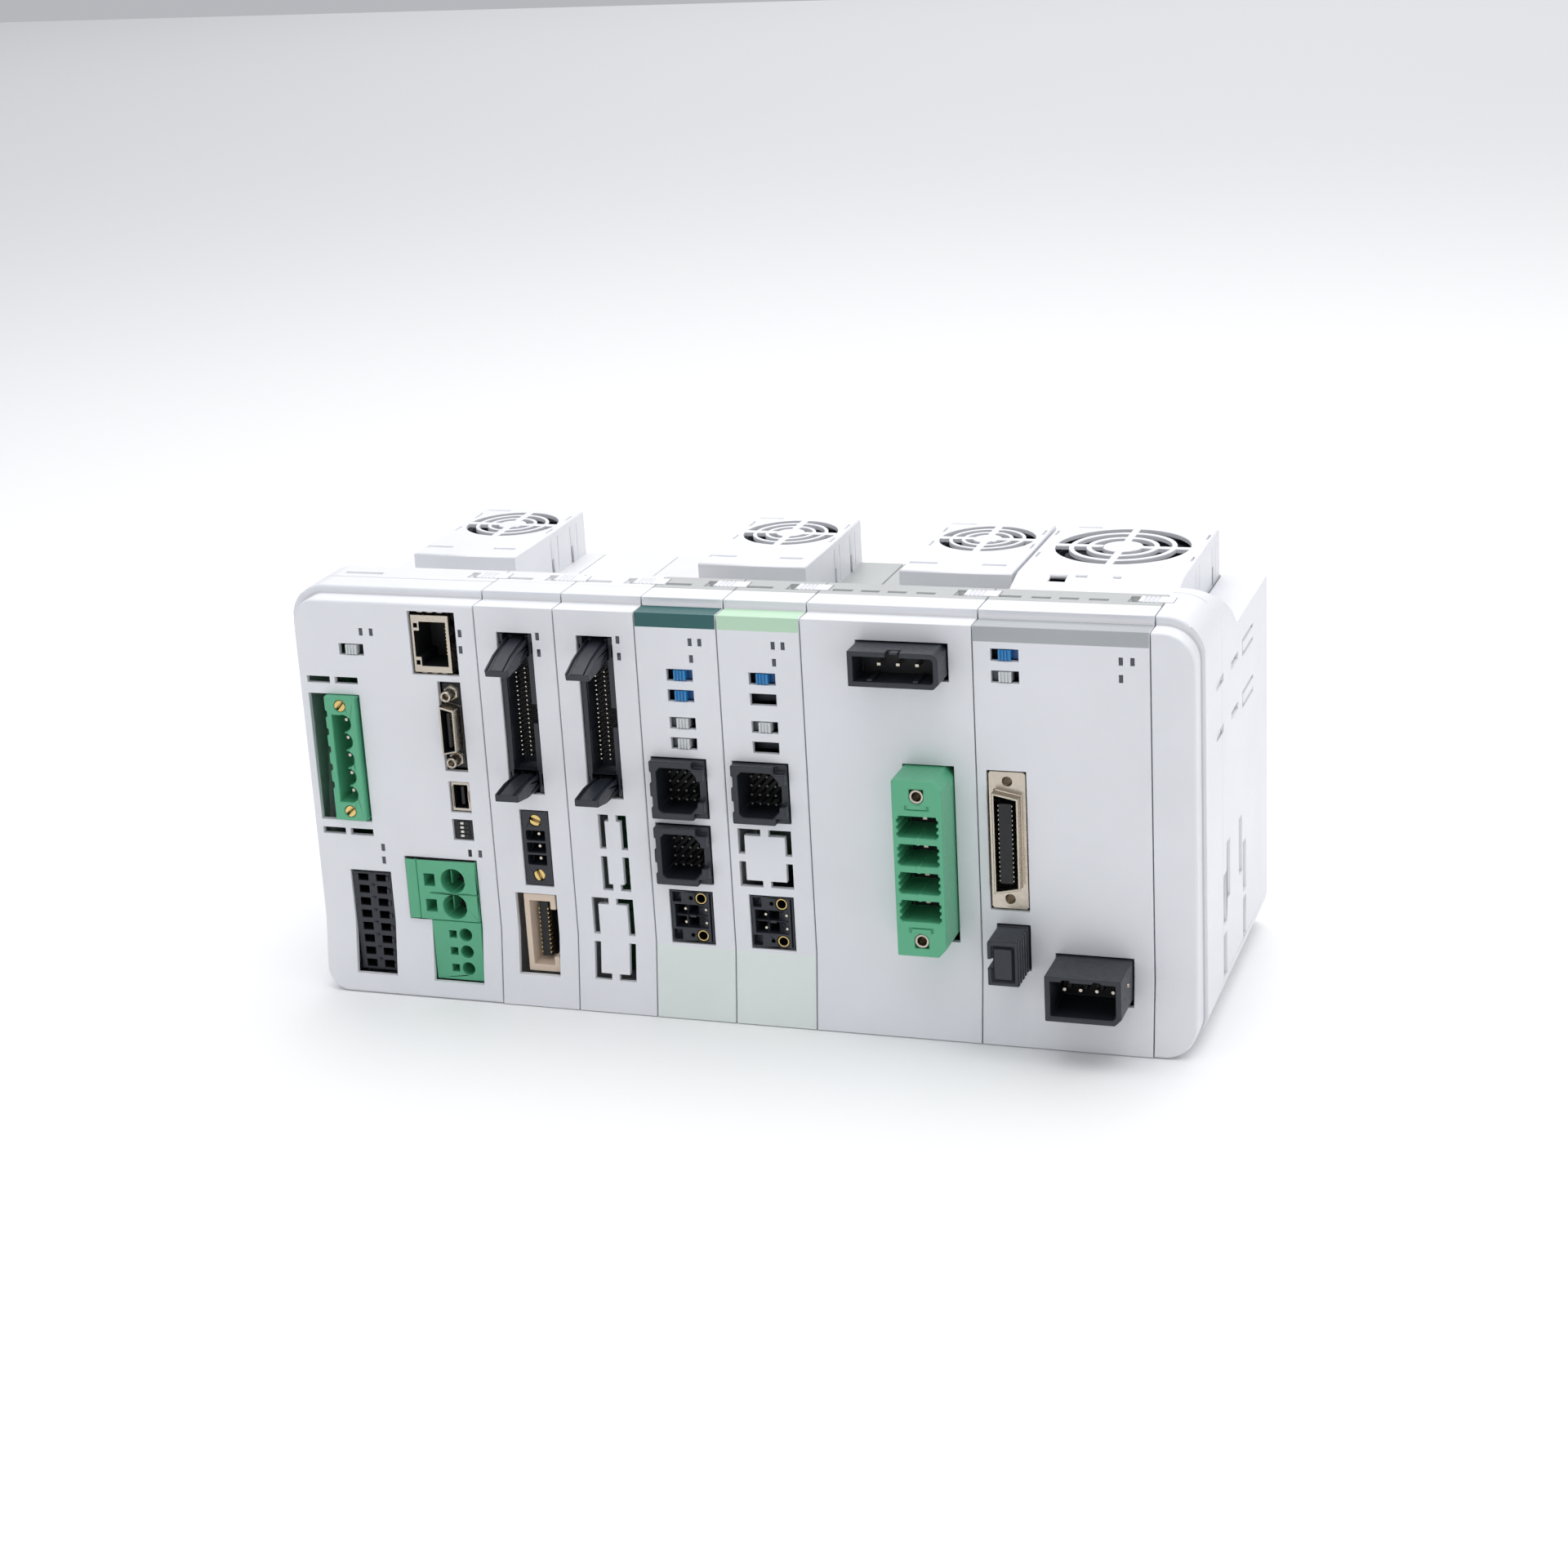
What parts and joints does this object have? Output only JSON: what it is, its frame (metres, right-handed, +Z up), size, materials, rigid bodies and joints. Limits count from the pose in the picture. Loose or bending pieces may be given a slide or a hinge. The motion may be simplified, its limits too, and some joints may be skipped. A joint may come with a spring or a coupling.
{
  "type": "linear actuator controller",
  "caption": "Row of joined control units for linear actuators: front connectors and slide switches, cooling fans on the roof and a recess for a mounting rail behind.",
  "frame": {"origin": "on the floor plane, under the middle of the bounding box", "axes": "+X along the row from the master unit to the end unit, +Y from the connectors to the rail side, +Z up"},
  "size_m": [0.2496, 0.1094, 0.1152],
  "materials": {
    "case_white": "fine-grained satin",
    "case_grey": "fine-grained satin",
    "black_plastic": "satin",
    "green_plastic": "satin",
    "beige_plastic": "satin",
    "nickel_shell": "satin nickel",
    "brass_screw": "bright",
    "brass_pin": "bright",
    "board_green": "lacquered",
    "light_plastic": "satin",
    "blue_plastic": "satin"
  },
  "bodies": {
    "row": {"master_cover": "case_white", "io_covers": "case_white", "drive_covers": "case_white", "power_cover": "case_white", "servo_cover": "case_white", "end_cover": "case_white", "master_case": "case_white", "io_cases": "case_white", "drive_cases": "case_grey", "power_case": "case_grey", "servo_case": "case_grey", "end_case": "case_white", "ethernet_jack": "nickel_shell", "teach_port": "nickel_shell", "usb_port": "nickel_shell", "system_io_header": "black_plastic", "fieldbus_header": "green_plastic", "power_terminal": "green_plastic", "io_headers": "black_plastic", "flanged_headers": "black_plastic", "extension_header": "beige_plastic", "motor_sockets": "black_plastic", "drive_power_header": "black_plastic", "mains_header": "green_plastic", "encoder_connector": "nickel_shell", "stop_plug": "black_plastic", "motor_connector": "black_plastic", "flange_screws": "brass_screw", "contact_pins": "brass_pin", "circuit_boards": "board_green", "board_components": "black_plastic", "fan_covers": "case_white", "fan_frames": "black_plastic"},
    "fan_rotor_a_body": {"fan_rotor_a": "black_plastic"},
    "fan_rotor_b_body": {"fan_rotor_b": "black_plastic"},
    "fan_rotor_c_body": {"fan_rotor_c": "black_plastic"},
    "large_fan_rotor_body": {"large_fan_rotor": "black_plastic"},
    "mode_knob_body": {"mode_knob": "light_plastic"},
    "jog_knob_a_body": {"jog_knob_a": "blue_plastic"},
    "jog_knob_b_body": {"jog_knob_b": "blue_plastic"},
    "jog_knob_c_body": {"jog_knob_c": "blue_plastic"},
    "jog_knob_d_body": {"jog_knob_d": "blue_plastic"},
    "release_knob_a_body": {"release_knob_a": "light_plastic"},
    "release_knob_b_body": {"release_knob_b": "light_plastic"},
    "release_knob_c_body": {"release_knob_c": "light_plastic"},
    "release_knob_d_body": {"release_knob_d": "light_plastic"},
    "upper_lever_a_body": {"upper_lever_a": "black_plastic"},
    "lower_lever_a_body": {"lower_lever_a": "black_plastic"},
    "upper_lever_b_body": {"upper_lever_b": "black_plastic"},
    "lower_lever_b_body": {"lower_lever_b": "black_plastic"},
    "unit_lock_a_body": {"unit_lock_a": "case_white"},
    "unit_lock_b_body": {"unit_lock_b": "case_white"},
    "unit_lock_c_body": {"unit_lock_c": "case_white"},
    "unit_lock_d_body": {"unit_lock_d": "case_white"},
    "unit_lock_e_body": {"unit_lock_e": "case_white"},
    "unit_lock_f_body": {"unit_lock_f": "case_white"},
    "unit_lock_g_body": {"unit_lock_g": "case_white"},
    "rail_clip_a_body": {"rail_clip_a": "black_plastic"},
    "rail_clip_b_body": {"rail_clip_b": "black_plastic"},
    "rail_clip_c_body": {"rail_clip_c": "black_plastic"}
  },
  "joints": [
    {"name": "fan_rotor_a_spin", "type": "hinge", "parent": "row", "child": "fan_rotor_a_body", "pos_m": [-0.0898, 0.03755, 0.105], "axis": [0, 0, 1], "continuous": true},
    {"name": "fan_rotor_b_spin", "type": "hinge", "parent": "row", "child": "fan_rotor_b_body", "pos_m": [-0.0054, 0.03755, 0.105], "axis": [0, 0, 1], "continuous": true},
    {"name": "fan_rotor_c_spin", "type": "hinge", "parent": "row", "child": "fan_rotor_c_body", "pos_m": [0.0513, 0.03755, 0.105], "axis": [0, 0, 1], "continuous": true},
    {"name": "large_fan_rotor_spin", "type": "hinge", "parent": "row", "child": "large_fan_rotor_body", "pos_m": [0.0898, 0.03375, 0.105], "axis": [0, 0, 1], "continuous": true},
    {"name": "mode_select", "type": "slide", "parent": "row", "child": "mode_knob_body", "axis": [1, 0, 0], "range_m": [-0.0015, 0.0015]},
    {"name": "jog_slide_a", "type": "slide", "parent": "row", "child": "jog_knob_a_body", "axis": [1, 0, 0], "range_m": [-0.0015, 0.0015], "stiffness_N_per_m": 400},
    {"name": "jog_slide_b", "type": "slide", "parent": "row", "child": "jog_knob_b_body", "axis": [1, 0, 0], "range_m": [-0.0015, 0.0015], "stiffness_N_per_m": 400},
    {"name": "jog_slide_c", "type": "slide", "parent": "row", "child": "jog_knob_c_body", "axis": [1, 0, 0], "range_m": [-0.0015, 0.0015], "stiffness_N_per_m": 400},
    {"name": "jog_slide_d", "type": "slide", "parent": "row", "child": "jog_knob_d_body", "axis": [1, 0, 0], "range_m": [-0.0015, 0.0015], "stiffness_N_per_m": 400},
    {"name": "release_slide_a", "type": "slide", "parent": "row", "child": "release_knob_a_body", "axis": [1, 0, 0], "range_m": [-0.0015, 0.0015]},
    {"name": "release_slide_b", "type": "slide", "parent": "row", "child": "release_knob_b_body", "axis": [1, 0, 0], "range_m": [-0.0015, 0.0015]},
    {"name": "release_slide_c", "type": "slide", "parent": "row", "child": "release_knob_c_body", "axis": [1, 0, 0], "range_m": [-0.0015, 0.0015]},
    {"name": "release_slide_d", "type": "slide", "parent": "row", "child": "release_knob_d_body", "axis": [1, 0, 0], "range_m": [-0.0015, 0.0015]},
    {"name": "upper_eject_a", "type": "hinge", "parent": "row", "child": "upper_lever_a_body", "pos_m": [-0.0572, -0.03705, 0.1023], "axis": [-1, 0, 0], "range_deg": [0, 26]},
    {"name": "lower_eject_a", "type": "hinge", "parent": "row", "child": "lower_lever_a_body", "pos_m": [-0.0572, -0.03705, 0.0641], "axis": [1, 0, 0], "range_deg": [0, 12]},
    {"name": "upper_eject_b", "type": "hinge", "parent": "row", "child": "upper_lever_b_body", "pos_m": [-0.0346, -0.03705, 0.1023], "axis": [-1, 0, 0], "range_deg": [0, 26]},
    {"name": "lower_eject_b", "type": "hinge", "parent": "row", "child": "lower_lever_b_body", "pos_m": [-0.0346, -0.03705, 0.0641], "axis": [1, 0, 0], "range_deg": [0, 12]},
    {"name": "lock_slide_a", "type": "slide", "parent": "row", "child": "unit_lock_a_body", "axis": [-1, 0, 0], "range_m": [0, 0.0022]},
    {"name": "lock_slide_b", "type": "slide", "parent": "row", "child": "unit_lock_b_body", "axis": [-1, 0, 0], "range_m": [0, 0.0022]},
    {"name": "lock_slide_c", "type": "slide", "parent": "row", "child": "unit_lock_c_body", "axis": [-1, 0, 0], "range_m": [0, 0.0022]},
    {"name": "lock_slide_d", "type": "slide", "parent": "row", "child": "unit_lock_d_body", "axis": [-1, 0, 0], "range_m": [0, 0.0022]},
    {"name": "lock_slide_e", "type": "slide", "parent": "row", "child": "unit_lock_e_body", "axis": [-1, 0, 0], "range_m": [0, 0.0022]},
    {"name": "lock_slide_f", "type": "slide", "parent": "row", "child": "unit_lock_f_body", "axis": [-1, 0, 0], "range_m": [0, 0.0022]},
    {"name": "lock_slide_g", "type": "slide", "parent": "row", "child": "unit_lock_g_body", "axis": [-1, 0, 0], "range_m": [0, 0.0022]},
    {"name": "clip_slide_a", "type": "slide", "parent": "row", "child": "rail_clip_a_body", "axis": [0, 0, -1], "range_m": [0, 0.003]},
    {"name": "clip_slide_b", "type": "slide", "parent": "row", "child": "rail_clip_b_body", "axis": [0, 0, -1], "range_m": [0, 0.003]},
    {"name": "clip_slide_c", "type": "slide", "parent": "row", "child": "rail_clip_c_body", "axis": [0, 0, -1], "range_m": [0, 0.003]}
  ]
}
